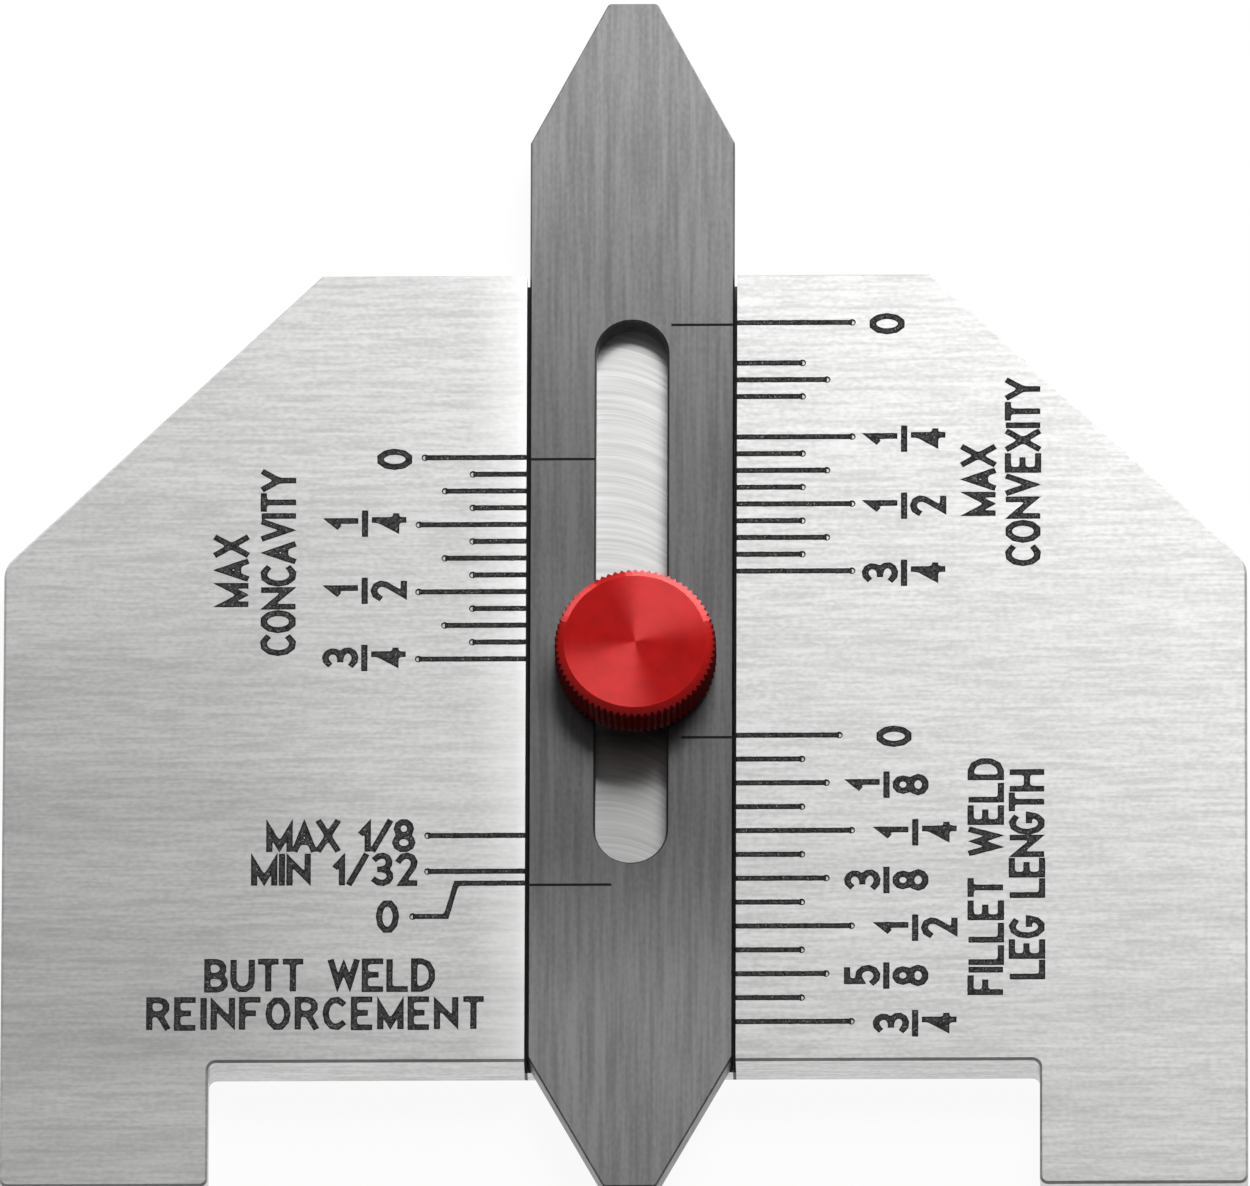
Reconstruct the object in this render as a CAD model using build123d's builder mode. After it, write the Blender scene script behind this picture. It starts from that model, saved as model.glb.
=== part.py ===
from build123d import *
import os
from math import atan2, cos, degrees, radians, sin, sqrt, tan

# Weld gauge: a flat stainless plate whose pointer slides in a groove and is held by a thumb screw.
# It lies on its back. X runs across the plate, Y up the pointer and Z points out of the engraved face.
# The origin is under the middle of the gauge, on the plate's back face.
# All four pointer marks stand at their zeros, which puts the pointer's lower tip level with the feet.

os.makedirs("parts", exist_ok=True)

INCH = 25.4

# Plate
plate_width = 3 * INCH
plate_height = 60.7
plate_thickness = INCH / 8
shoulder_cut = 0.765 * INCH
shoulder_corner_radius = 1.8
foot_width = INCH / 2
notch_height = 8.2
corner_radius = 0.5
edge_break = 0.15

# Groove for the pointer, which was milled a little to the right of the plate's middle
groove_width = 12.92
groove_offset = 0.36

# Pointer
pointer_length = 79.1
blade_thickness = INCH / 16
blade_recess = 0.3
groove_side_gap = 0.18
upper_taper_height = 9.4
upper_tip_width = 3.0
lower_taper_height = 8.6
lower_tip_width = 3.2
tip_corner_radius = 0.3
blade_edge_break = 0.1
slot_edge_break = 0.12
travel_down = 20.8
travel_up = 11.45
stop_gap = 0.2

# Thumb screw: a knurled knob pressed on a threaded stud, with a washer under it
stud_diameter = 3.5
stud_height = 34.94
stud_offset = 0.29
stud_side_gap = 0.145
thread_gap = 0.05
stud_end_depth = 0.1
stud_end_break = 0.3
shank_diameter = 3.0
knob_diameter = 9.9
knob_height = 2.77
knob_rim_width = 0.57
knob_rim_drop = 0.33
knob_base_break = 0.08
knob_cap_thickness = 0.8
knurl_teeth = 72
knurl_depth = 0.24
washer_thickness = 0.25
washer_setback = 1.15
washer_gap = 0.1
washer_edge_break = 0.08

# Engraving: lines and lettering share one depth, and each line ends in a shallow round dot
engraving_depth = 0.12
line_width = 0.34
dot_diameter = 0.42
dot_depth = 0.05
dot_sides = 6
pointer_line_width = 0.17
pointer_line_depth = 0.08

# Heights of the four zeros above the feet
convexity_zero = 57.43
concavity_zero = 48.45
leg_zero = 29.82
butt_zero = 20.03

# Weld sizes marked on the scales
leg_step = INCH / 16
leg_steps = 12
narrow_face = 5 / 16 * INCH
narrow_allowance = INCH / 16
wide_allowance = INCH / 8
butt_minimum = INCH / 32
butt_maximum = INCH / 8

# How far the marks reach out from the groove, for quarters, eighths and sixteenths of an inch
right_reaches = (7.06, 5.51, 4.01)
left_reaches = (6.57, 4.97, 3.27)
convexity_zero_reach = 7.06
leg_zero_reach = 6.29
concavity_zero_reach = 6.22
butt_reach = 5.94
butt_zero_reach = 4.19
butt_jog_reach = 4.79
butt_jog_drop = 2.2
butt_tail_reach = 6.84

# The pointer's own marks, from its middle out to its edge
convexity_mark_start = 2.4
leg_mark_start = 3.07
butt_mark_start = 1.17

# Lettering, drawn on a grid of six units to the height of a capital
cap_height = 1.85
stroke_width = 0.385
stroke_end = 0.35 * stroke_width
grid_height = 6
bow_step = 36
fraction_bar_length = 1.5
fraction_gap = 0.55

# Figures beside the marks: the steps they stand at as numerator and denominator, and how far out they stand
quarters = {4: ("1", "4"), 8: ("1", "2"), 12: ("3", "4")}
eighths = {2: ("1", "8"), 6: ("3", "8"), 10: ("5", "8")}
concavity_number_column = 9.89
convexity_number_column = 10.26
eighth_number_column = 9.2
quarter_number_column = 10.96
concavity_zero_column = 7.16
convexity_zero_column = 10.13
leg_zero_column = 10.58
butt_zero_column = 8.39
zero_drop = 0.1
right_figure_drop = 0.15
left_figure_rise = 0.09

# Levels
face_z = plate_thickness
groove_depth = blade_thickness + blade_recess
groove_floor_z = plate_thickness - groove_depth
blade_face_z = groove_floor_z + blade_thickness
knob_base_z = blade_face_z + washer_thickness

# Places across and along the gauge
feet_y = -pointer_length / 2
plate_top_y = feet_y + plate_height
left_edge_x = groove_offset - groove_width / 2
right_edge_x = groove_offset + groove_width / 2
stud_x = groove_offset + stud_offset
stud_y = feet_y + stud_height
blade_width = groove_width - 2 * groove_side_gap
slot_width = stud_diameter + 2 * (stud_offset + stud_side_gap)
slot_top_y = stud_y + stud_diameter / 2 + travel_down + stop_gap
slot_bottom_y = stud_y - stud_diameter / 2 - travel_up - stop_gap
face_plane = Plane.XY.offset(face_z)


def bow(middle_x, middle_y, reach_x, reach_y, start, end):
    """Points along part of an ellipse, for the round strokes of a character."""
    count = round(abs(end - start) / bow_step)
    angles = [radians(start + (end - start) * i / count) for i in range(count + 1)]
    return [(middle_x + reach_x * cos(a), middle_y + reach_y * sin(a)) for a in angles]


# Each character as its width and its strokes. A stroke that ends where it starts is a closed loop.
CHARACTERS = {
    "A": (3.6, [[(0, 0), (1.8, 4.9), (3.6, 0)], [(0.7, 1.7), (2.9, 1.7)]]),
    "B": (
        3.5,
        [
            [(0, 0), (0, 3), *bow(2, 1.5, 1.5, 1.5, 90, -90), (0, 0)],
            [(0, 3), (0, 6), *bow(1.8, 4.5, 1.4, 1.5, 90, -90)],
        ],
    ),
    "C": (3.6, [bow(2, 3, 2, 3, 45, 315)]),
    "D": (3.6, [[(0, 0), (0, 6), *bow(1.4, 3, 2.2, 3, 90, -90), (0, 0)]]),
    "E": (3.2, [[(3.2, 6), (0, 6), (0, 0), (3.2, 0)], [(0, 3.1), (2.3, 3.1)]]),
    "F": (3.2, [[(3.2, 6), (0, 6), (0, 0)], [(0, 3.1), (2.3, 3.1)]]),
    "G": (3.7, [[*bow(1.9, 3, 1.9, 3, 50, 320), (3.7, 2.6), (2.3, 2.6)]]),
    "H": (3.6, [[(0, 0), (0, 6)], [(3.6, 0), (3.6, 6)], [(0, 3), (3.6, 3)]]),
    "I": (0, [[(0, 0), (0, 6)]]),
    "L": (3.2, [[(0, 6), (0, 0), (3.2, 0)]]),
    "M": (4, [[(0, 0), (0, 4.3), (2, 0.7), (4, 4.3), (4, 0)]]),
    "N": (3.6, [[(0, 0), (0, 5), (3.6, 1), (3.6, 6)]]),
    "O": (3.8, [bow(1.9, 3, 1.9, 3, 0, 360)]),
    "R": (3.5, [[(0, 0), (0, 6), *bow(1.9, 4.5, 1.5, 1.5, 90, -90), (0, 3)], [(1.9, 3), (3.5, 0)]]),
    "T": (3.2, [[(0, 6), (3.2, 6)], [(1.6, 6), (1.6, 0)]]),
    "U": (3.6, [[(0, 6), *bow(1.8, 1.8, 1.8, 1.8, 180, 360), (3.6, 6)]]),
    "V": (3.5, [[(0, 6), (1.75, 1.2), (3.5, 6)]]),
    "W": (5, [[(0, 6), (1.3, 1.3), (2.5, 4.7), (3.7, 1.3), (5, 6)]]),
    "X": (3.6, [[(0, 0), (3.6, 6)], [(0, 6), (3.6, 0)]]),
    "Y": (3.6, [[(0, 6), (1.8, 3), (1.8, 0)], [(1.8, 3), (3.6, 6)]]),
    "0": (3.4, [bow(1.7, 3, 1.7, 3, 0, 360)]),
    "1": (1.2, [[(0, 3.6), (1.2, 5), (1.2, 0)]]),
    "2": (3.4, [[*bow(1.7, 4.4, 1.6, 1.6, 165, -30), (0.8, 0), (3.4, 0)]]),
    "3": (
        3.4,
        [
            [*bow(1.7, 4.5, 1.5, 1.5, 150, -90), (1.2, 3)],
            [(1.2, 3), *bow(1.7, 1.5, 1.7, 1.5, 90, -150)],
        ],
    ),
    "4": (3.6, [[(2.6, 0), (2.6, 6)], [(2.4, 4.7), (0.6, 1.6), (3.6, 1.6)]]),
    "5": (3.4, [[(3.1, 6), (0.5, 6), *bow(1.7, 1.9, 1.7, 1.9, 135, -150)]]),
    "8": (3.4, [bow(1.7, 4.5, 1.4, 1.5, 0, 360), bow(1.7, 1.5, 1.7, 1.5, 0, 360)]),
    "/": (3.2, [[(0, 0), (3.2, 6)]]),
    " ": (2.6, []),
}


def pushed(point, neighbour):
    """The end of a stroke moved outwards, where the round cutter runs past it."""
    end = Vector(*point)
    return end + (end - Vector(*neighbour)).normalized() * stroke_end


def draw_character(character):
    """One character at its real size, with the start of its foot at the sketch's origin."""
    unit = cap_height / grid_height
    with BuildSketch() as drawn:
        for stroke in CHARACTERS[character][1]:
            points = [(x * unit, y * unit) for x, y in stroke]
            closed = abs(Vector(*points[0]) - Vector(*points[-1])) < stroke_width / 10
            if closed:
                points = points[:-1]
            else:
                points = [pushed(points[0], points[1]), *points[1:-1], pushed(points[-1], points[-2])]
            with BuildLine():
                Polyline(*points, close=closed)
            trace(line_width=stroke_width)
    return drawn.sketch


drawn_characters = {name: draw_character(name) for name in CHARACTERS if name != " "}


def reading_plane(x, y, angle):
    """A plane on the plate's face whose X runs the way the words are read."""
    return Plane(origin=(x, y, face_z), x_dir=(cos(radians(angle)), sin(radians(angle)), 0), z_dir=(0, 0, 1))


def words(text, x, y, angle, length):
    """A line of lettering whose foot starts at x, y, spaced out to a length."""
    unit = cap_height / grid_height
    widths = [CHARACTERS[character][0] * unit for character in text]
    gap = (length - sum(widths)) / (len(text) - 1)
    with BuildSketch(reading_plane(x, y, angle)) as line:
        reach = 0
        for character, width in zip(text, widths):
            if character != " ":
                with Locations((reach, 0)):
                    add(drawn_characters[character])
            reach += width + gap
    return line.sketch


def number(character, x, y, angle):
    """A single figure with the middle of its foot at x, y."""
    half_width = CHARACTERS[character][0] * cap_height / grid_height / 2
    with BuildSketch(reading_plane(x, y, angle)) as figure:
        with Locations((-half_width, 0)):
            add(drawn_characters[character])
    return figure.sketch


def fraction(upper, lower, x, y):
    """A stacked fraction with its bar at x, y, read up the plate."""
    unit = cap_height / grid_height
    with BuildSketch(reading_plane(x, y, 90)) as stacked:
        Rectangle(fraction_bar_length + 2 * stroke_end, stroke_width)
        with Locations((-CHARACTERS[upper][0] * unit / 2, fraction_gap)):
            add(drawn_characters[upper])
        with Locations((-CHARACTERS[lower][0] * unit / 2, -fraction_gap - cap_height)):
            add(drawn_characters[lower])
    return stacked.sketch


def throat(leg):
    """How deep the corner of a fillet weld with this leg lies under its flat face."""
    return leg * sin(radians(45))


def crown(leg):
    """The throat and the convexity allowed over it, which is more on a wide face."""
    if leg == 0:
        return 0
    face_width = leg * sqrt(2)
    return throat(leg) + (narrow_allowance if face_width <= narrow_face else wide_allowance)


def leg_y(leg):
    """Where the leg scale marks a weld size."""
    return feet_y + leg_zero - leg


def convexity_y(leg):
    """Where the convexity scale marks a weld size."""
    return feet_y + convexity_zero - crown(leg)


def concavity_y(leg):
    """Where the concavity scale marks a weld size."""
    return feet_y + concavity_zero - throat(leg)


def reach_of(step, reaches):
    """Long marks at the quarters, middle ones at the eighths and short ones between."""
    quarter, eighth, sixteenth = reaches
    if step % 4 == 0:
        return quarter
    return eighth if step % 2 == 0 else sixteenth


butt_zero_y = feet_y + butt_zero
butt_tail_y = butt_zero_y - butt_jog_drop

# Each straight mark on the plate as its height, the groove edge it starts from and its outer end
marks = [
    (butt_zero_y + butt_minimum, left_edge_x, left_edge_x - butt_reach),
    (butt_zero_y + butt_maximum, left_edge_x, left_edge_x - butt_reach),
]
for mark_y, edge_x, side, reaches, zero_reach in (
    (convexity_y, right_edge_x, 1, right_reaches, convexity_zero_reach),
    (leg_y, right_edge_x, 1, right_reaches, leg_zero_reach),
    (concavity_y, left_edge_x, -1, left_reaches, concavity_zero_reach),
):
    marks.append((mark_y(0), edge_x, edge_x + side * zero_reach))
    for step in range(1, leg_steps + 1):
        marks.append((mark_y(step * leg_step), edge_x, edge_x + side * reach_of(step, reaches)))

dot_places = [(end_x, y) for y, _, end_x in marks]
dot_places.append((left_edge_x - butt_tail_reach, butt_tail_y))

# Each legend as its text, where its foot starts across and up the plate, its reading angle and its length
legends = [
    ("MAX", left_edge_x - 17.15, concavity_y(0) - 9.76, 90, 4.44),
    ("CONCAVITY", left_edge_x - 14.26, concavity_y(0) - 13.04, 90, 12.1),
    ("MAX", right_edge_x + 15.74, convexity_y(0) - 12.82, 90, 4.4),
    ("CONVEXITY", right_edge_x + 18.48, convexity_y(0) - 16.19, 90, 12.23),
    ("FILLET WELD", right_edge_x + 16.2, leg_y(0) - 17.15, 90, 15.4),
    ("LEG LENGTH", right_edge_x + 18.72, leg_y(0) - 16.12, 90, 13.6),
    ("MAX 1/8", left_edge_x - 15.64, butt_zero_y + 2.26, 0, 8.75),
    ("MIN 1/32", left_edge_x - 16.56, butt_zero_y + 0.02, 0, 9.85),
    ("BUTT WELD", left_edge_x - 19.38, butt_zero_y - 7.02, 0, 13.75),
    ("REINFORCEMENT", left_edge_x - 22.91, butt_zero_y - 9.55, 0, 20.3),
]
lettering = [words(*legend) for legend in legends]

# The figure beside each zero
lettering += [
    number("0", left_edge_x - concavity_zero_column, concavity_y(0) - zero_drop, 90),
    number("0", right_edge_x + convexity_zero_column, convexity_y(0) - zero_drop, 90),
    number("0", right_edge_x + leg_zero_column, leg_y(0) - zero_drop, 90),
    number("0", left_edge_x - butt_zero_column, butt_tail_y - cap_height / 2, 0),
]

# Quarters on all three fillet scales, and eighths on the leg scale
for fractions, mark_y, column_x, drop in (
    (quarters, convexity_y, right_edge_x + convexity_number_column, right_figure_drop),
    (quarters, leg_y, right_edge_x + quarter_number_column, right_figure_drop),
    (eighths, leg_y, right_edge_x + eighth_number_column, right_figure_drop),
    (quarters, concavity_y, left_edge_x - concavity_number_column, -left_figure_rise),
):
    for step, (upper, lower) in fractions.items():
        lettering.append(fraction(upper, lower, column_x, mark_y(step * leg_step) - drop))

with BuildSketch(face_plane) as scale_lines:
    for y, edge_x, end_x in marks:
        with Locations(((edge_x + end_x) / 2, y)):
            Rectangle(abs(end_x - edge_x), line_width)
    with BuildLine():
        Polyline(
            (left_edge_x, butt_zero_y),
            (left_edge_x - butt_zero_reach, butt_zero_y),
            (left_edge_x - butt_jog_reach, butt_tail_y),
            (left_edge_x - butt_tail_reach, butt_tail_y),
        )
    trace(line_width=line_width)

with BuildSketch(face_plane) as dots:
    with Locations(*dot_places):
        RegularPolygon(dot_diameter / 2, dot_sides)


with BuildPart() as body_plate:
    with BuildSketch():
        with BuildLine():
            Polyline(
                (-plate_width / 2, feet_y),
                (-plate_width / 2, plate_top_y - shoulder_cut),
                (-plate_width / 2 + shoulder_cut, plate_top_y),
                (plate_width / 2 - shoulder_cut, plate_top_y),
                (plate_width / 2, plate_top_y - shoulder_cut),
                (plate_width / 2, feet_y),
                (plate_width / 2 - foot_width, feet_y),
                (plate_width / 2 - foot_width, feet_y + notch_height),
                (-plate_width / 2 + foot_width, feet_y + notch_height),
                (-plate_width / 2 + foot_width, feet_y),
                close=True,
            )
        make_face()
    extrude(amount=plate_thickness)
    upright = body_plate.edges().filter_by(Axis.Z)
    side_corners = upright.filter_by(lambda e: abs(e.center().Y - plate_top_y + shoulder_cut) < corner_radius)
    fillet(side_corners, shoulder_corner_radius)
    foot_corners = body_plate.edges().filter_by(Axis.Z).group_by(Axis.Y)
    fillet(foot_corners[0] + foot_corners[1], corner_radius)
    chamfer(body_plate.faces().filter_by(Axis.Z).edges(), edge_break)
    with BuildSketch(face_plane):
        with Locations((groove_offset, feet_y + plate_height / 2)):
            Rectangle(groove_width, plate_height)
    extrude(amount=-groove_depth, mode=Mode.SUBTRACT)
    with BuildSketch(Plane.XY):
        with Locations((stud_x, stud_y)):
            Circle(stud_diameter / 2 + thread_gap)
    extrude(amount=plate_thickness, mode=Mode.SUBTRACT)
    extrude(dots.sketch, amount=-dot_depth, mode=Mode.SUBTRACT)
    extrude(scale_lines.sketch, amount=-engraving_depth, mode=Mode.SUBTRACT)
    letter_faces = [face for sketch in lettering for face in sketch.faces()]
    extrude(letter_faces, amount=-engraving_depth, mode=Mode.SUBTRACT)
body_plate.part.label = "body_plate"
export_step(body_plate.part, "parts/body_plate.step")


with BuildPart() as pointer_blade:
    with BuildSketch(Plane.XY.offset(groove_floor_z)):
        with BuildLine():
            left_x = groove_offset - blade_width / 2
            right_x = groove_offset + blade_width / 2
            tip_y = feet_y + pointer_length
            Polyline(
                (groove_offset - lower_tip_width / 2, feet_y),
                (left_x, feet_y + lower_taper_height),
                (left_x, tip_y - upper_taper_height),
                (groove_offset - upper_tip_width / 2, tip_y),
                (groove_offset + upper_tip_width / 2, tip_y),
                (right_x, tip_y - upper_taper_height),
                (right_x, feet_y + lower_taper_height),
                (groove_offset + lower_tip_width / 2, feet_y),
                close=True,
            )
        make_face()
    extrude(amount=blade_thickness)
    tip_corners = pointer_blade.edges().filter_by(Axis.Z).group_by(Axis.Y)
    fillet(tip_corners[0] + tip_corners[-1], tip_corner_radius)
    chamfer(pointer_blade.faces().filter_by(Axis.Z).edges(), blade_edge_break)
    blade_plane = Plane.XY.offset(blade_face_z)
    with BuildSketch(blade_plane):
        with Locations((groove_offset, (slot_top_y + slot_bottom_y) / 2)):
            SlotOverall(slot_top_y - slot_bottom_y, slot_width, rotation=90)
    extrude(amount=-blade_thickness, mode=Mode.SUBTRACT)
    slot_rim = pointer_blade.faces().sort_by(Axis.Z)[-1].inner_wires()[0]
    chamfer(slot_rim.edges(), slot_edge_break)
    # Each zero mark as its height, where it starts and where it ends
    with BuildSketch(blade_plane) as zero_marks:
        for y, start_x, end_x in (
            (convexity_y(0), groove_offset + convexity_mark_start, right_x),
            (leg_y(0), groove_offset + leg_mark_start, right_x),
            (concavity_y(0), left_x, groove_offset - slot_width / 2),
            (butt_zero_y, left_x, groove_offset - butt_mark_start),
        ):
            with Locations(((start_x + end_x) / 2, y)):
                Rectangle(end_x - start_x, pointer_line_width)
    extrude(amount=-pointer_line_depth, mode=Mode.SUBTRACT)
pointer_blade.part.label = "pointer_blade"
export_step(pointer_blade.part, "parts/pointer_blade.step")


stud_axis = Axis((stud_x, stud_y, 0), (0, 0, 1))
stud_plane = Plane(origin=(stud_x, stud_y, 0), x_dir=(1, 0, 0), z_dir=(0, -1, 0))
knob_top_z = knob_base_z + knob_height
shank_top_z = knob_top_z - knob_cap_thickness

with BuildPart() as clamp_washer:
    with BuildSketch(Plane.XY.offset(blade_face_z)):
        with Locations((stud_x, stud_y)):
            Circle(knob_diameter / 2 - washer_setback)
            Circle(stud_diameter / 2 + washer_gap, mode=Mode.SUBTRACT)
    extrude(amount=washer_thickness)
    chamfer(clamp_washer.edges().group_by(Axis.Z)[-1].sort_by(SortBy.RADIUS)[-1], washer_edge_break)
clamp_washer.part.label = "clamp_washer"
export_step(clamp_washer.part, "parts/clamp_washer.step")


with BuildPart() as clamp_stud:
    with BuildSketch(stud_plane):
        with BuildLine():
            Polyline(
                (0, stud_end_depth),
                (stud_diameter / 2 - stud_end_break, stud_end_depth),
                (stud_diameter / 2, stud_end_depth + stud_end_break),
                (stud_diameter / 2, knob_base_z),
                (shank_diameter / 2, knob_base_z),
                (shank_diameter / 2, shank_top_z),
                (0, shank_top_z),
                close=True,
            )
        make_face()
    revolve(axis=stud_axis)
clamp_stud.part.label = "clamp_stud"
export_step(clamp_stud.part, "parts/clamp_stud.step")


with BuildPart() as clamp_knob:
    tooth_angle = 360 / knurl_teeth
    tips = [(knob_diameter / 2, tooth_angle * i) for i in range(knurl_teeth)]
    roots = [(knob_diameter / 2 - knurl_depth, tooth_angle * (i + 0.5)) for i in range(knurl_teeth)]
    outline = [point for pair in zip(tips, roots) for point in pair]
    knob_base_plane = Plane.XY.offset(knob_base_z)
    with BuildSketch(knob_base_plane):
        with BuildLine():
            Polyline(
                *[(stud_x + r * cos(radians(a)), stud_y + r * sin(radians(a))) for r, a in outline],
                close=True,
            )
        make_face()
    extrude(amount=knob_height)
    # The rim and the base are cut in one flat across each tooth.
    # Each flat is given as a radius it passes through, its height there and its slope off the upright.
    for radius, height, slope in (
        (knob_diameter / 2 - knob_rim_width, knob_height, degrees(atan2(knob_rim_width, knob_rim_drop))),
        (knob_diameter / 2 - knob_base_break, 0, -45),
    ):
        with BuildSketch(knob_base_plane):
            with Locations((stud_x, stud_y)):
                foot_radius = radius + height * tan(radians(slope))
                RegularPolygon(foot_radius, knurl_teeth, major_radius=False, rotation=tooth_angle / 2)
        extrude(amount=knob_height, taper=slope, mode=Mode.INTERSECT)
    with BuildSketch(knob_base_plane):
        with Locations((stud_x, stud_y)):
            Circle(shank_diameter / 2)
    extrude(amount=shank_top_z - knob_base_z, mode=Mode.SUBTRACT)
clamp_knob.part.label = "clamp_knob"
export_step(clamp_knob.part, "parts/clamp_knob.step")
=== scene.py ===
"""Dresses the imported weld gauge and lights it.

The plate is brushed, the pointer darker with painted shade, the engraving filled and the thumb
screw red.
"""

import math

import bmesh
import bpy
from bpy.props import FloatProperty, FloatVectorProperty, PointerProperty
from mathutils import Matrix, Vector, kdtree, noise


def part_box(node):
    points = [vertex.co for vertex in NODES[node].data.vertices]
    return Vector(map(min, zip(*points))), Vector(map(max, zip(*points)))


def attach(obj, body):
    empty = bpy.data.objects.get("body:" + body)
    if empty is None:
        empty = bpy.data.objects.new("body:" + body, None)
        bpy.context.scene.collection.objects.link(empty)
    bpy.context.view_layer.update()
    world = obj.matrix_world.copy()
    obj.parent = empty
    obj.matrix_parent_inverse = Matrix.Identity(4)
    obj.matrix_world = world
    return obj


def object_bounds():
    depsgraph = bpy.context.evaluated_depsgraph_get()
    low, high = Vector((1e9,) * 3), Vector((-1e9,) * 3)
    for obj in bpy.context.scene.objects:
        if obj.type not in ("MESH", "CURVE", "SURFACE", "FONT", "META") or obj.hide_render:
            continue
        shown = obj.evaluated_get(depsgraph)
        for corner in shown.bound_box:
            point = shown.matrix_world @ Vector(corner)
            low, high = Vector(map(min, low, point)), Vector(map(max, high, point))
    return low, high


bl_info = {
    "name": "Weld gauge studio",
    "version": (1, 0, 0),
    "blender": (4, 5, 0),
    "location": "View3D > Sidebar > Weld gauge",
    "description": "Finishes the parts of a weld gauge and sets it in a plain bright studio",
    "category": "Object",
}

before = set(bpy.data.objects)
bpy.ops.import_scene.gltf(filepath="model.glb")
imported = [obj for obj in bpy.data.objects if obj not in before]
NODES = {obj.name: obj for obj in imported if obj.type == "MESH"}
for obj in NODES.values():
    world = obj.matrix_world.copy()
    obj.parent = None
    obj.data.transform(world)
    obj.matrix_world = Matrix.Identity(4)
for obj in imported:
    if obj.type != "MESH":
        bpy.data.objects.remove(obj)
CAD_BOX = [list(corner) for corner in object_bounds()]

# Slack for sorting faces and corners: a height in metres, and the upward part of a face's normal,
# for level faces and for any face that looks up
SAME_LEVEL = 0.000003
LEVEL, FACING_UP = 0.99, 0.5


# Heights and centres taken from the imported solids

def flat_levels(node):
    """Heights of a node's level, upward faces, highest first."""
    mesh = NODES[node].data
    heights = {round(face.center.z, 6) for face in mesh.polygons if face.normal.z > LEVEL}
    return sorted(heights, reverse=True)


def widest_at(node, level):
    """Least and greatest x of a node's corners at that height."""
    corners = NODES[node].data.vertices
    places = [corner.co.x for corner in corners if abs(corner.co.z - level) < SAME_LEVEL]
    return min(places), max(places)


PLATE_FACE, DOT_FLOOR, LETTER_FLOOR, GROOVE_FLOOR = flat_levels("body_plate")[:4]
MARK_FLOOR = flat_levels("pointer_blade")[1]
KNOB_LOW, KNOB_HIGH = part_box("clamp_knob")
AXIS = (KNOB_LOW + KNOB_HIGH) / 2
GROOVE_LEFT, GROOVE_RIGHT = widest_at("body_plate", GROOVE_FLOOR)
BLADE_LOW, BLADE_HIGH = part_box("pointer_blade")


# Where painted shade and painted highlights come in along an axis: each pair is where a change
# begins and where it is full

PATCH_SIDE = (-0.013, -0.026)
PATCH_TOP = (0.008, -0.014)
PATCH_FOOT = (-0.036, -0.027)
FLOOR_SHADE = (-0.006, -0.012)
MIDDLE_SHADE_TOP = (0.037, 0.002)
MIDDLE_SHADE_FOOT = (-0.030, -0.015)
HIGHLIGHT_BAND = (GROOVE_LEFT - 0.0040, GROOVE_LEFT)
HIGHLIGHT_EDGE = (GROOVE_LEFT - 0.0008, GROOVE_LEFT)
KNOB_SHADE_BAND = (KNOB_HIGH.z - 0.00005, KNOB_HIGH.z - 0.0004)

# Limits between the plate's face, the engraving and the groove

BELOW_FACE = PLATE_FACE - 0.0002
ABOVE_GROOVE_FLOOR, BELOW_GROOVE_FLOOR = PLATE_FACE - 0.0005, GROOVE_FLOOR - 0.00002
ABOVE_LETTER_FLOOR, BELOW_LETTER_FLOOR = LETTER_FLOOR + 0.00003, LETTER_FLOOR - 0.00003
GAP_LEFT, GAP_RIGHT = GROOVE_LEFT - 0.00001, GROOVE_RIGHT + 0.00001

# Parts of a noise's range over which brush lines and turned rings go from dark to bright

STREAK_SPAN = (0.32, 0.68)
RING_SPAN = (0.35, 0.65)

# The filling: how near corners are joined, its outline's steps and smoothing, how deep its edge
# reaches, how proud it stands, and how many sides a ring has

JOINED = 0.0000005
OUTLINE_STEP, MOST_CUTS, SMOOTHINGS = 0.00009, 12, 4
EDGE_REACH = 0.00014
INK_PROUD, RING_PROUD = 0.000003, 0.000005
RING_SIDES = 24

# Cells to the metre of the filling's unevenness, wide and fine, and the seed it is drawn from

WIDE_CELLS, FINE_CELLS, DRIFT_SEED = 3500.0, 9000.0, 3

# Softboxes, each with its power's name, its place, and its width and height

LAMPS = (
    ("key_softbox", "key_power", (0.10, 0.30, 0.34), (0.24, 0.20)),
    ("fill_softbox", "fill_power", (-0.24, 0.34, 0.13), (0.20, 0.08)),
    ("rim_softbox", "rim_power", (0.17, 0.40, 0.10), (0.44, 0.08)),
)

# Floor and camera: the floor's half side and its drop, how much and how strongly it shows white

FLOOR_HALF, FLOOR_DROP = 3.0, 0.00001
WHITE_SHARE, WHITE_STRENGTH = 0.88, 1.05
SENSOR_WIDTH = 36.0
FAR_LIMIT = 20.0
FRAME_MIDDLE = Vector((-0.0000264, -0.0002005, PLATE_FACE))


# Sizes and colours that a user may change

def colour(name, description, default):
    return FloatVectorProperty(name=name, description=description, default=default,
                               subtype="COLOR", size=3, min=0.0, max=1.0)


def length(name, description, default):
    return FloatProperty(name=name, description=description, default=default,
                         min=0.0, unit="LENGTH", precision=6)


def factor(name, description, default):
    return FloatProperty(name=name, description=description, default=default,
                         min=0.0, max=1.0, subtype="FACTOR")


def power(name, description, default):
    return FloatProperty(name=name, description=description, default=default,
                         min=0.0, unit="POWER")


def angle(name, description, degrees):
    return FloatProperty(name=name, description=description, default=math.radians(degrees),
                         min=-math.pi, max=math.pi, unit="ROTATION")


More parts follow.
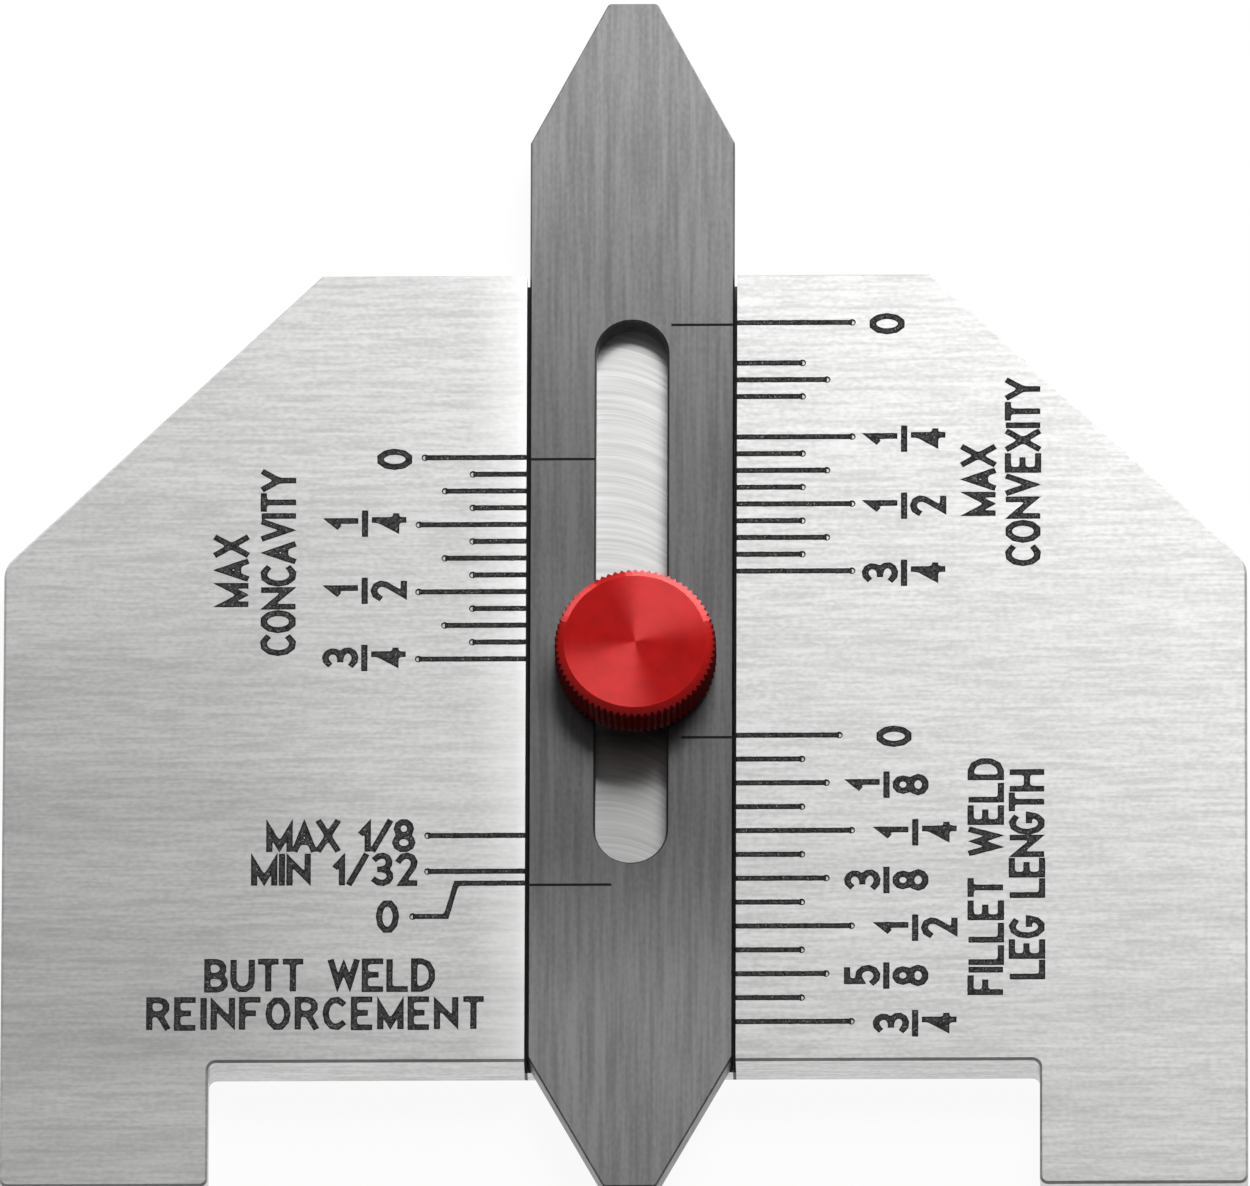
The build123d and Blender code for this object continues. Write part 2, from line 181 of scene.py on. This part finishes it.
class PlateLook(bpy.types.PropertyGroup):
    """Finish of the plate and of its filled engraving"""

    steel: colour("Steel", "Colour of the brushed plate", (0.69, 0.69, 0.685))
    dark_steel: colour("Steel in the streaks", "Colour in the deeper brush lines",
                       (0.50, 0.50, 0.495))
    # Painted highlight: a pale colour painted in a band along the plate's face left of the groove
    highlight_steel: colour("Steel at the groove", "Colour of the polished edge left of the groove",
                         (0.93, 0.93, 0.925))
    # Painted shade: how far a patch at the lower left of the plate is darkened towards the shade
    # colour
    patch_shade: factor("Dull patch", "How much darker the steel is in the patch on the left", 0.15)
    # Painted shade: a near-black colour painted where shade falls, in the gaps beside the pointer,
    # on a patch at the lower left and on the groove's floor below the screw
    painted_shade: colour("Grime", "Colour in the gaps beside the pointer", (0.03, 0.03, 0.03))
    roughness: factor("Roughness", "Roughness of the brushed face", 0.375)
    streak_width: length("Streak width", "Width of one fine brush line", 0.00021)
    streak_length: length("Streak length", "Length of one fine brush line", 0.0030)
    streak_depth: length("Streak depth", "Depth of the brush lines", 0.0000014)
    cutter_radius: length("Cutter radius", "Radius of the arcs milled in the groove", 0.00635)
    cutter_pitch: length("Cutter pitch", "Spacing of the arcs milled in the groove", 0.0004)
    cutter_offset: length("Cutter offset", "How far left of the screw the arcs are centred", 0.0021)
    ink: colour("Ink", "Colour of the filled letters and lines", (0.004, 0.004, 0.0045))
    # Thinner filling and painted highlight: a mottled lighter grey painted along the middle of each
    # stroke, where the floor of a groove would catch the light
    thin_ink_and_highlight: colour("Ink core", "Colour where the filling is thin, in the middle of a stroke",
                     (0.06, 0.06, 0.06))
    ink_unevenness: length("Ink unevenness", "How far the filling's edge wanders", 0.000018)
    ring_width: length("Dot ring width", "Width of the dark ring round a dot", 0.00006)
    ring_radius: length("Dot ring radius", "Outer radius of the dark ring round a dot", 0.00022)


class PointerLook(bpy.types.PropertyGroup):
    """Finish of the sliding pointer"""

    # Painted shade: the pointer's steel colours are painted much darker than the plate's, for the
    # lamps' light that its lengthwise brush lines would turn away
    steel: colour("Steel", "Colour of the pointer", (0.254, 0.254, 0.256))
    dark_steel: colour("Steel in the streaks", "Colour in the deeper brush lines",
                       (0.168, 0.168, 0.170))
    # Painted shade: how much darker the pointer is painted along its middle round the knob
    middle_shade: factor("Darker middle", "How much darker the pointer is along its middle", 0.42)
    roughness: factor("Roughness", "Roughness of the pointer's face", 0.42)
    streak_depth: length("Streak depth", "Depth of the brush lines", 0.0000014)
    mark: colour("Mark", "Colour of the filled zero marks", (0.02, 0.02, 0.021))
    mark_thickness: length("Mark thickness", "Thickness of the filling in the zero marks", 0.00004)


class ScrewLook(bpy.types.PropertyGroup):
    """Finish of the thumb screw and its washer"""

    red: colour("Knob", "Colour of the anodised knob", (0.70, 0.009, 0.009))
    roughness: factor("Knob roughness", "Roughness of the turned and dyed face", 0.25)
    turning: factor("Turning", "How far the turned face draws out its highlights", 0.97)
    ring_pitch: length("Ring pitch", "Spacing of the rings left by turning", 0.00012)
    ring_depth: length("Ring depth", "Depth of the rings left by turning", 0.0000004)
    steel_pitch: length("Steel ring pitch", "Spacing of the rings on the stud and washer", 0.0001)
    steel_depth: length("Steel ring depth", "Depth of the rings on the stud and washer", 0.000002)
    steel: colour("Stud and washer", "Colour of the stud and the washer", (0.60, 0.60, 0.59))


class StageLook(bpy.types.PropertyGroup):
    """Floor, lamps and camera"""

    floor: colour("Floor", "Colour of the floor", (0.92, 0.92, 0.92))
    sky: factor("Sky", "Strength of the even light from all round", 0.15)
    key_power: power("Key lamp", "Power of the high softbox behind on the right", 1.09)
    fill_power: power("Fill lamp", "Power of the low softbox behind on the left", 0.40)
    rim_power: power("Rim lamp", "Power of the low softbox behind on the right", 1.8)
    elevation: angle("Elevation", "Camera's angle above the floor", 66.4755)
    azimuth: angle("Azimuth", "Camera's turn about the gauge", 2.25)
    roll: angle("Roll", "Camera's turn about its own line of sight", -2.2698)
    distance: length("Distance", "Camera's distance from the middle of the gauge", 3.1931)
    lens: FloatProperty(name="Lens", description="Focal length on a 36 mm wide sensor",
                        default=1500.0, min=1.0, unit="CAMERA")


# Shader maths

class Field:
    """A number that varies over a surface, held as the socket that gives it."""

    def __init__(self, finish, socket):
        self.finish = finish
        self.socket = socket

    def maths(self, operation, *values, clamp=False):
        settings = {"operation": operation, "use_clamp": clamp}
        made = self.finish.node("ShaderNodeMath", settings, dict(enumerate(values)))
        return Field(self.finish, made.outputs[0])

    def __add__(self, other):
        return self.maths("ADD", self, other)

    __radd__ = __add__

    def __sub__(self, other):
        return self.maths("SUBTRACT", self, other)

    def __rsub__(self, other):
        return self.maths("SUBTRACT", other, self)

    def __mul__(self, other):
        return self.maths("MULTIPLY", self, other)

    __rmul__ = __mul__

    def __truediv__(self, other):
        return self.maths("DIVIDE", self, other)

    def __gt__(self, other):
        return self.maths("GREATER_THAN", self, other)

    def __lt__(self, other):
        return self.maths("LESS_THAN", self, other)

    def root(self):
        return self.maths("SQRT", self.maths("MAXIMUM", self, 0.0))

    def clamped(self):
        return self.maths("ADD", self, 0.0, clamp=True)

    def rise(self, low, high):
        """0 below low, 1 above high and smooth between; falls instead where low is the greater."""
        t = ((self - low) / (high - low)).clamped()
        return t * t * (3.0 - 2.0 * t)


class Finish:
    """A node material, and the nodes that a finish is mixed from."""

    def __init__(self, name):
        self.material = bpy.data.materials.new(name)
        self.material.use_nodes = True
        self.tree = self.material.node_tree
        self.tree.nodes.clear()
        self.place = self.node("ShaderNodeTexCoord").outputs["Object"]
        split = self.node("ShaderNodeSeparateXYZ", None, {0: self.place})
        self.x, self.y, self.z = (Field(self, socket) for socket in split.outputs)
        facing = self.node("ShaderNodeSeparateXYZ", None,
                           {0: self.node("ShaderNodeNewGeometry").outputs["Normal"]})
        self.up = Field(self, facing.outputs[2])

    def node(self, kind, settings=None, sockets=None):
        """A node of that type. Settings come first, then the values or links of its sockets."""
        made = self.tree.nodes.new(kind)
        for name, value in (settings or {}).items():
            setattr(made, name, value)
        for name, value in (sockets or {}).items():
            value = value.socket if isinstance(value, Field) else value
            if isinstance(value, bpy.types.NodeSocket):
                self.tree.links.new(value, made.inputs[name])
            else:
                made.inputs[name].default_value = value
        return made

    def noise(self, cells, detail=2.0, roughness=0.5, shift=(0.0, 0.0, 0.0)):
        """Noise round 0.5, with so many cells to the metre along each axis."""
        placed = self.node("ShaderNodeMapping", {"vector_type": "POINT"}, {
            "Vector": self.place, "Location": shift, "Scale": cells})
        return self.noise_at(placed.outputs[0], detail, roughness)

    def grain(self, sizes, detail, shift=(0.0, 0.0, 0.0)):
        """Noise round 0.5, its cells of those sizes, in metres, along each axis."""
        return self.noise(tuple(1.0 / size for size in sizes), detail, 0.5, shift)

    def noise_at(self, point, detail=2.0, roughness=0.5):
        """Noise round 0.5, read at a point that is worked out."""
        made = self.node("ShaderNodeTexNoise", {"noise_dimensions": "3D"}, {
            "Vector": point, "Scale": 1.0, "Detail": detail, "Roughness": roughness})
        return Field(self, made.outputs["Fac"])

    def point(self, x, y, z):
        return self.node("ShaderNodeCombineXYZ", None, {0: x, 1: y, 2: z}).outputs[0]

    def mix(self, amount, first, second):
        """The first colour where the amount is 0, the second where it is 1."""
        made = self.node("ShaderNodeMix", {"data_type": "RGBA", "clamp_factor": True},
                         {0: amount, 6: first, 7: second})
        return made.outputs[2]

    def surface(self, bump=None, depth=0.0, **sockets):
        """Ends the material in one Principled shader, with a bump of that depth in metres."""
        values = {name.replace("_", " "): value for name, value in sockets.items()}
        if bump is not None:
            sockets = {"Strength": 1.0, "Distance": depth, "Height": bump}
            values["Normal"] = self.node("ShaderNodeBump", None, sockets).outputs[0]
        shader = self.node("ShaderNodeBsdfPrincipled", None, values)
        self.node("ShaderNodeOutputMaterial", None, {"Surface": shader.outputs[0]})
        return self.material


def opaque(shade):
    """A colour property as the four numbers a colour socket takes."""
    return (*shade, 1.0)


def dimmed(shade, share):
    """That share of a colour property, as a colour socket takes it."""
    return opaque(tuple(share * part for part in shade))


def dress(thing, material):
    """Puts one material on a CAD node or a new piece."""
    if thing.material_slots:
        for slot in thing.material_slots:
            slot.material = material
    else:
        thing.data.materials.append(material)


# Materials

def plate_material(look):
    """Steel brushed across the plate, with the arcs of a milling cutter in the groove's floor,
    painted shade in the gaps beside the pointer, on a patch at the lower left and on the groove's
    floor below the screw, and a painted highlight left of the groove.
    """
    finish = Finish("brushed_plate")
    across, along = 1.0 / look.streak_length, 1.0 / look.streak_width
    fine = finish.noise((across, along * 0.85, along), 1.0)
    short = finish.noise((across * 7.5, along * 0.9, along), 1.0, 0.5, (5.5, 7.7, 0.0))
    middle = finish.noise((across * 0.35, along * 0.4, along * 0.4), 1.0, 0.5, (3.7, 1.3, 0.0))
    broad = finish.noise((across * 0.08, along * 0.05, along * 0.05), 3.0, 0.5, (9.1, 4.2, 0.0))
    streaks = fine * 0.40 + short * 0.32 + middle * 0.28

    floor = (finish.z < ABOVE_GROOVE_FLOOR) * (finish.z > BELOW_GROOVE_FLOOR)
    floor = floor * (finish.up > FACING_UP)
    sides = (finish.x < BLADE_LOW.x) + (finish.x > BLADE_HIGH.x)
    # Painted shade mask: the groove's walls and floor in the narrow gaps beside the pointer, which
    # also lose their metal
    shaded_gap = (finish.x > GAP_LEFT) * (finish.x < GAP_RIGHT) * sides * (finish.z < BELOW_FACE)
    centre = finish.x - (AXIS.x - look.cutter_offset)
    arc = finish.y - (look.cutter_radius ** 2 - centre * centre).root()
    arcs = finish.noise_at(finish.point(arc / look.cutter_pitch, finish.x * 60.0, 0.0), 2.0, 0.55)
    fine_pitch = look.cutter_pitch * 0.28
    fine_arcs = finish.noise_at(finish.point(arc / fine_pitch, finish.x * 150.0, 4.0), 1.0)
    milled = arcs * 0.7 + fine_arcs * 0.3

    line = streaks * (1.0 - floor) + milled * floor
    steel = finish.mix(line.rise(*STREAK_SPAN), opaque(look.dark_steel), opaque(look.steel))
    # Painted highlight: the plate's face lightened in a band left of the groove, most at its edge
    near = finish.x.rise(*HIGHLIGHT_BAND) * 0.45 + finish.x.rise(*HIGHLIGHT_EDGE) * 0.25
    painted_highlight = near * (finish.x < GROOVE_LEFT) * (finish.z > BELOW_FACE) * (0.5 + broad)
    steel = finish.mix(painted_highlight, steel, opaque(look.highlight_steel))
    # Painted shade: a patch at the lower left of the plate darkened towards the shade colour
    patch = finish.x.rise(*PATCH_SIDE) * finish.y.rise(*PATCH_TOP) * finish.y.rise(*PATCH_FOOT)
    steel = finish.mix(patch * look.patch_shade, steel, opaque(look.painted_shade))
    # Painted shade: the groove's floor below the knob darkened for the knob's shadow
    steel = finish.mix(floor * finish.y.rise(*FLOOR_SHADE) * 0.27, steel, opaque(look.painted_shade))
    # Painted shade: the narrow gaps beside the pointer painted in the shade colour
    steel = finish.mix(shaded_gap, steel, opaque(look.painted_shade))
    cut = (finish.z < ABOVE_LETTER_FLOOR) * (finish.z > BELOW_LETTER_FLOOR)
    cut = cut * (finish.up > LEVEL)
    steel = finish.mix(cut, steel, opaque(look.ink))
    roughness = look.roughness - 0.06 * (line - 0.5) + 0.12 * (broad - 0.5)
    return finish.surface(bump=line, depth=look.streak_depth, Base_Color=steel,
                          Metallic=1.0 - cut - shaded_gap, Roughness=roughness)


def pointer_material(look):
    """Steel brushed along the pointer, painted darker than the plate as painted shade, and with
    more painted shade along its middle round the screw.
    """
    finish = Finish("brushed_pointer")
    speckle = finish.grain((0.00022, 0.0004, 0.0004), 1.0)
    fine = finish.grain((0.00026, 0.006, 0.0004), 1.0, (4.1, 0.7, 0.0))
    middle = finish.grain((0.0007, 0.020, 0.0006), 1.0, (2.2, 6.1, 0.0))
    broad = finish.grain((0.003, 0.03, 0.003), 2.0, (7.3, 1.9, 0.0))
    line = speckle * 0.22 + fine * 0.39 + middle * 0.39
    steel = finish.mix(line.rise(*STREAK_SPAN), opaque(look.dark_steel), opaque(look.steel))
    # Painted shade: the pointer darkened towards black along its middle, round the knob
    middle_shade = finish.y.rise(*MIDDLE_SHADE_TOP) * finish.y.rise(*MIDDLE_SHADE_FOOT)
    steel = finish.mix(middle_shade * look.middle_shade, steel, (0.0, 0.0, 0.0, 1.0))
    roughness = look.roughness - 0.06 * (line - 0.5) + 0.10 * (broad - 0.5)
    return finish.surface(bump=line, depth=look.streak_depth, Base_Color=steel, Metallic=1.0,
                          Roughness=roughness)


def ink_material(name, shade, thin):
    """Dark filling, thinner and lighter along the middle of a stroke with a mottled painted
    highlight, and with a few pale specks where it is thin.
    """
    finish = Finish(name)
    stored = finish.node("ShaderNodeAttribute", {"attribute_name": "core"})
    core = Field(finish, stored.outputs["Fac"])
    cloud = finish.noise((WIDE_CELLS,) * 3, 2.0, 0.6)
    specks = finish.noise((FINE_CELLS,) * 3, 1.0, 0.5, (2.0, 5.0, 0.0)).rise(0.62, 0.72)
    # Painted highlight: the filling lighter and mottled towards the middle of a stroke
    fill = finish.mix(core * cloud.rise(0.30, 0.62), opaque(shade), opaque(thin))
    fill = finish.mix(core * specks * 0.6, fill, (0.45, 0.45, 0.45, 1.0))
    return finish.surface(bump=cloud, depth=0.000006, Base_Color=fill, Metallic=0.0,
                          Specular_IOR_Level=0.2, Roughness=0.65 + 0.2 * (cloud - 0.5))


def turned_rings(finish, pitch, height_cells):
    """Rings round the screw's axis, at that pitch and with so many cells to the metre of height."""
    x, y = finish.x - AXIS.x, finish.y - AXIS.y
    radius = (x * x + y * y).root()
    return finish.noise_at(finish.point(radius / pitch, 0.0, finish.z * height_cells), 2.0, 0.6)


def knob_material(look):
    """Red anodised aluminium with the rings left by turning, and painted shade on the rim and skirt
    below the top face.
    """
    finish = Finish("red_anodised")
    rings = turned_rings(finish, look.ring_pitch, 3000.0)
    cloud = finish.noise((900.0,) * 3)
    uneven = (rings * 0.3 + cloud * 0.7).rise(*RING_SPAN)
    dye_and_shade = finish.mix(uneven, dimmed(look.red, 0.85), opaque(look.red))
    # Painted shade: the rim and skirt below the top face darkened all round
    dye_and_shade = finish.mix(finish.z.rise(*KNOB_SHADE_BAND), dye_and_shade, dimmed(look.red, 0.35))
    return finish.surface(bump=rings, depth=look.ring_depth, Base_Color=dye_and_shade, Metallic=0.25,
                          Roughness=look.roughness + 0.06 * (rings - 0.5), Anisotropic=look.turning,
                          Anisotropic_Rotation=0.25, Specular_IOR_Level=0.40)


def screw_material(look, name, height_cells):
    """Bright turned steel, its lines round the axis."""
    finish = Finish(name)
    rings = turned_rings(finish, look.steel_pitch, height_cells)
    steel = finish.mix(rings.rise(*RING_SPAN), dimmed(look.steel, 0.75), opaque(look.steel))
    return finish.surface(bump=rings, depth=look.steel_depth, Base_Color=steel, Metallic=1.0,
                          Roughness=0.34 + 0.1 * (rings - 0.5))


def floor_material(look):
    """A matt pale floor that looks white to the camera and in reflections, and keeps shadows."""
    finish = Finish("white_floor")
    path = finish.node("ShaderNodeLightPath")
    seen = Field(finish, path.outputs["Is Camera Ray"])
    seen = seen.maths("MAXIMUM", seen, path.outputs["Is Glossy Ray"])
    seen = seen.maths("MAXIMUM", seen, path.outputs["Is Transmission Ray"])
    grain = finish.noise((40.0,) * 3)
    paper = finish.mix(grain, opaque(look.floor), dimmed(look.floor, 0.985))
    matt = finish.node("ShaderNodeBsdfDiffuse", None, {"Color": paper})
    white = finish.node("ShaderNodeEmission", None,
                        {"Color": (1.0, 1.0, 1.0, 1.0), "Strength": WHITE_STRENGTH})
    both = finish.node("ShaderNodeMixShader", None,
                       {0: seen * WHITE_SHARE, 1: matt.outputs[0], 2: white.outputs[0]})
    finish.node("ShaderNodeOutputMaterial", None, {"Surface": both.outputs[0]})
    return finish.material


# Filling in the engraved letters, lines and marks

def merged_copy(node):
    """A bmesh of a CAD node, its loose triangles joined."""
    made = bmesh.new()
    made.from_mesh(NODES[node].data)
    bmesh.ops.remove_doubles(made, verts=made.verts, dist=JOINED)
    made.normal_update()
    return made


def keep_floor(made, level):
    """Deletes every face but the level, upward ones at that height."""
    others = [face for face in made.faces
              if face.normal.z < LEVEL
              or abs(face.calc_center_median().z - level) > SAME_LEVEL]
    bmesh.ops.delete(made, geom=others, context="FACES")
    if not made.faces:
        raise RuntimeError(f"no engraved floor at {level * 1000:.3f} mm")


def mark_cores(made):
    """Divides the upward faces and stores, as 'core', how far each point lies from the outline."""
    outline = kdtree.KDTree(len(made.verts))
    for vert in made.verts:
        outline.insert(vert.co, vert.index)
    outline.balance()
    for _ in range(2):
        long = [edge for edge in made.edges
                if edge.calc_length() > EDGE_REACH and len(edge.link_faces) == 2
                and all(face.normal.z > LEVEL for face in edge.link_faces)]
        bmesh.ops.subdivide_edges(made, edges=long, cuts=1)
    many_sided = [face for face in made.faces if len(face.verts) > 3]
    bmesh.ops.triangulate(made, faces=many_sided)
    core = made.verts.layers.float.new("core")
    for vert in made.verts:
        vert[core] = min(1.0, outline.find(vert.co)[2] / EDGE_REACH)


def raise_slabs(made, thickness):
    """Thickens flat faces upwards into closed slabs."""
    raised = bmesh.ops.extrude_face_region(made, geom=made.faces[:], use_keep_orig=True)
    tops = [item for item in raised["geom"] if isinstance(item, bmesh.types.BMVert)]
    bmesh.ops.translate(made, verts=tops, vec=(0.0, 0.0, thickness))
    bmesh.ops.recalc_face_normals(made, faces=made.faces[:])


def soften(made, unevenness):
    """Rounds the corners of flat outlines, lets their edges wander and fills them again."""
    inner = [edge for edge in made.edges if not edge.is_boundary]
    bmesh.ops.delete(made, geom=inner, context="EDGES_FACES")
    for cuts in range(MOST_CUTS, 0, -1):  # The longest edges first, into pieces of about one step
        long = [edge for edge in made.edges if edge.calc_length() > OUTLINE_STEP * (cuts + 0.5)]
        if long:
            bmesh.ops.subdivide_edges(made, edges=long, cuts=cuts)
    for _ in range(SMOOTHINGS):
        bmesh.ops.smooth_vert(made, verts=made.verts, factor=0.5,
                              use_axis_x=True, use_axis_y=True)
    noise.seed_set(DRIFT_SEED)
    for vert in made.verts:
        drift = noise.noise_vector(vert.co * WIDE_CELLS)
        drift += 0.5 * noise.noise_vector(vert.co * FINE_CELLS)
        vert.co += unevenness * Vector((drift.x, drift.y, 0.0))
    bmesh.ops.triangle_fill(made, edges=made.edges[:], use_beauty=True, normal=(0.0, 0.0, 1.0))


def islands(made):
    """Groups of faces that touch, each as a list."""
    left, groups = set(made.faces), []
    while left:
        group, front = [], [left.pop()]
        while front:
            face = front.pop()
            group.append(face)
            near = {other for edge in face.edges for other in edge.link_faces} & left
            left -= near
            front.extend(near)
        groups.append(group)
    return groups


def finished_piece(made, name, material, body):
    """Makes an object of a bmesh, dresses it and lets it ride on a body."""
    mesh = bpy.data.meshes.new(name)
    made.to_mesh(mesh)
    made.free()
    piece = bpy.data.objects.new(name, mesh)
    bpy.context.scene.collection.objects.link(piece)
    dress(piece, material)
    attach(piece, body)


def dot_rings(look):
    """Flat rings, one round each dot at the end of a scale line."""
    dots = merged_copy("body_plate")
    keep_floor(dots, DOT_FLOOR)
    dots.verts.index_update()
    centres = []
    for group in islands(dots):
        corners = {vert.index: vert.co for face in group for vert in face.verts}
        total = sum((corners[index] for index in sorted(corners)), Vector())
        centres.append(total / len(corners))
    dots.free()
    centres.sort(key=tuple)
    made = bmesh.new()
    for centre in centres:
        disc = bmesh.ops.create_circle(made, cap_ends=True, segments=RING_SIDES,
                                       radius=look.ring_radius,
                                       matrix=Matrix.Translation(centre))
        face = disc["verts"][0].link_faces[0]
        bmesh.ops.inset_region(made, faces=[face], thickness=look.ring_width,
                               use_boundary=True, use_even_offset=True)
        bmesh.ops.delete(made, geom=[face], context="FACES_ONLY")
    return made


# Operators

class PlateOperator(bpy.types.Operator):
    """Give the plate its brushed steel"""

    bl_idname = "weld_gauge.plate"
    bl_label = "Finish the plate"

    def execute(self, context):
        dress(NODES["body_plate"], plate_material(context.scene.gauge_plate))
        return {"FINISHED"}


class EngravingOperator(bpy.types.Operator):
    """Fill the letters and lines of the scales, and ring the dots"""

    bl_idname = "weld_gauge.engraving"
    bl_label = "Fill the engraving"

    def execute(self, context):
        look = context.scene.gauge_plate
        ink = ink_material("engraving_ink", look.ink, look.thin_ink_and_highlight)
        letters = merged_copy("body_plate")
        keep_floor(letters, LETTER_FLOOR)
        soften(letters, look.ink_unevenness)
        raise_slabs(letters, PLATE_FACE - LETTER_FLOOR + INK_PROUD)
        mark_cores(letters)
        finished_piece(letters, "scale_ink", ink, "plate")
        rings = dot_rings(look)
        raise_slabs(rings, PLATE_FACE - DOT_FLOOR + RING_PROUD)
        finished_piece(rings, "dot_rings", ink, "plate")
        return {"FINISHED"}


class PointerOperator(bpy.types.Operator):
    """Give the pointer its darker steel and fill its zero marks"""

    bl_idname = "weld_gauge.pointer"
    bl_label = "Finish the pointer"

    def execute(self, context):
        look = context.scene.gauge_pointer
        dress(NODES["pointer_blade"], pointer_material(look))
        marks = merged_copy("pointer_blade")
        keep_floor(marks, MARK_FLOOR)
        raise_slabs(marks, look.mark_thickness)
        ink = ink_material("mark_ink", look.mark, look.mark)
        finished_piece(marks, "zero_mark_ink", ink, "pointer")
        return {"FINISHED"}


class ScrewOperator(bpy.types.Operator):
    """Give the knob its red, and the stud and washer their steel"""

    bl_idname = "weld_gauge.screw"
    bl_label = "Finish the thumb screw"

    def execute(self, context):
        look = context.scene.gauge_screw
        dress(NODES["clamp_knob"], knob_material(look))
        dress(NODES["clamp_stud"], screw_material(look, "stud_steel", 4000.0))
        dress(NODES["clamp_washer"], screw_material(look, "washer_steel", 2500.0))
        return {"FINISHED"}


class StageOperator(bpy.types.Operator):
    """Set the floor, the lamps, the sky and the camera"""

    bl_idname = "weld_gauge.stage"
    bl_label = "Set the stage"

    def execute(self, context):
        scene = context.scene
        look = scene.gauge_stage
        low, high = (Vector(corner) for corner in CAD_BOX)

        made = bmesh.new()
        bmesh.ops.create_grid(made, x_segments=8, y_segments=8, size=FLOOR_HALF,
                              matrix=Matrix.Translation((0.0, 0.0, low.z - FLOOR_DROP)))
        mesh = bpy.data.meshes.new("studio_floor")
        made.to_mesh(mesh)
        made.free()
        floor = bpy.data.objects.new("studio_floor", mesh)
        scene.collection.objects.link(floor)
        dress(floor, floor_material(look))

        for name, power_name, place, size in LAMPS:
            self.lamp(scene, name, place, size, getattr(look, power_name), (low + high) / 2)

        world = bpy.data.worlds.new("even_sky")
        world.use_nodes = True
        sky = world.node_tree.nodes["Background"]
        sky.inputs["Color"].default_value = (1.0, 1.0, 1.0, 1.0)
        sky.inputs["Strength"].default_value = look.sky
        scene.world = world

        camera = bpy.data.objects.new("camera", bpy.data.cameras.new("camera"))
        camera.data.sensor_width = SENSOR_WIDTH
        camera.data.lens = look.lens
        camera.data.clip_end = FAR_LIMIT
        tilted = Matrix.Rotation(math.pi / 2 - look.elevation, 3, "X")
        turned = Matrix.Rotation(look.azimuth, 3, "Z") @ tilted
        camera.location = FRAME_MIDDLE + turned @ Vector((0.0, 0.0, look.distance))
        camera.rotation_euler = (turned @ Matrix.Rotation(look.roll, 3, "Z")).to_euler()
        scene.collection.objects.link(camera)
        scene.camera = camera

        scene.view_settings.view_transform = "Standard"
        return {"FINISHED"}

    @staticmethod
    def lamp(scene, name, place, size, power, aim):
        """A softbox of that width and height that faces the gauge."""
        light = bpy.data.lights.new(name, "AREA")
        light.shape = "RECTANGLE"
        light.size, light.size_y = size
        light.energy = power
        lamp = bpy.data.objects.new(name, light)
        lamp.location = place
        lamp.rotation_euler = (aim - Vector(place)).to_track_quat("-Z", "Y").to_euler()
        lamp.visible_camera = False
        scene.collection.objects.link(lamp)


class GaugePanel(bpy.types.Panel):
    """Lists the steps that dress the weld gauge"""

    bl_idname = "VIEW3D_PT_weld_gauge"
    bl_label = "Weld gauge"
    bl_space_type = "VIEW_3D"
    bl_region_type = "UI"
    bl_category = "Weld gauge"

    def draw(self, context):
        for operator, group in STEPS:
            box = self.layout.box()
            box.operator(operator.bl_idname)
            if group:
                look = getattr(context.scene, group)
                for name in look.__annotations__:
                    box.prop(look, name)


STEPS = (
    (PlateOperator, "gauge_plate"),
    (EngravingOperator, None),
    (PointerOperator, "gauge_pointer"),
    (ScrewOperator, "gauge_screw"),
    (StageOperator, "gauge_stage"),
)
GROUPS = {"gauge_plate": PlateLook, "gauge_pointer": PointerLook,
          "gauge_screw": ScrewLook, "gauge_stage": StageLook}


def register():
    for name, group in GROUPS.items():
        bpy.utils.register_class(group)
        setattr(bpy.types.Scene, name, PointerProperty(type=group))
    for operator, _ in STEPS:
        bpy.utils.register_class(operator)
    bpy.utils.register_class(GaugePanel)


def unregister():
    bpy.utils.unregister_class(GaugePanel)
    for operator, _ in reversed(STEPS):
        bpy.utils.unregister_class(operator)
    for name, group in reversed(GROUPS.items()):
        delattr(bpy.types.Scene, name)
        bpy.utils.unregister_class(group)


def main():
    register()
    bpy.ops.weld_gauge.plate()
    bpy.ops.weld_gauge.engraving()
    bpy.ops.weld_gauge.pointer()
    bpy.ops.weld_gauge.screw()
    bpy.ops.weld_gauge.stage()


if __name__ == "__main__":
    main()
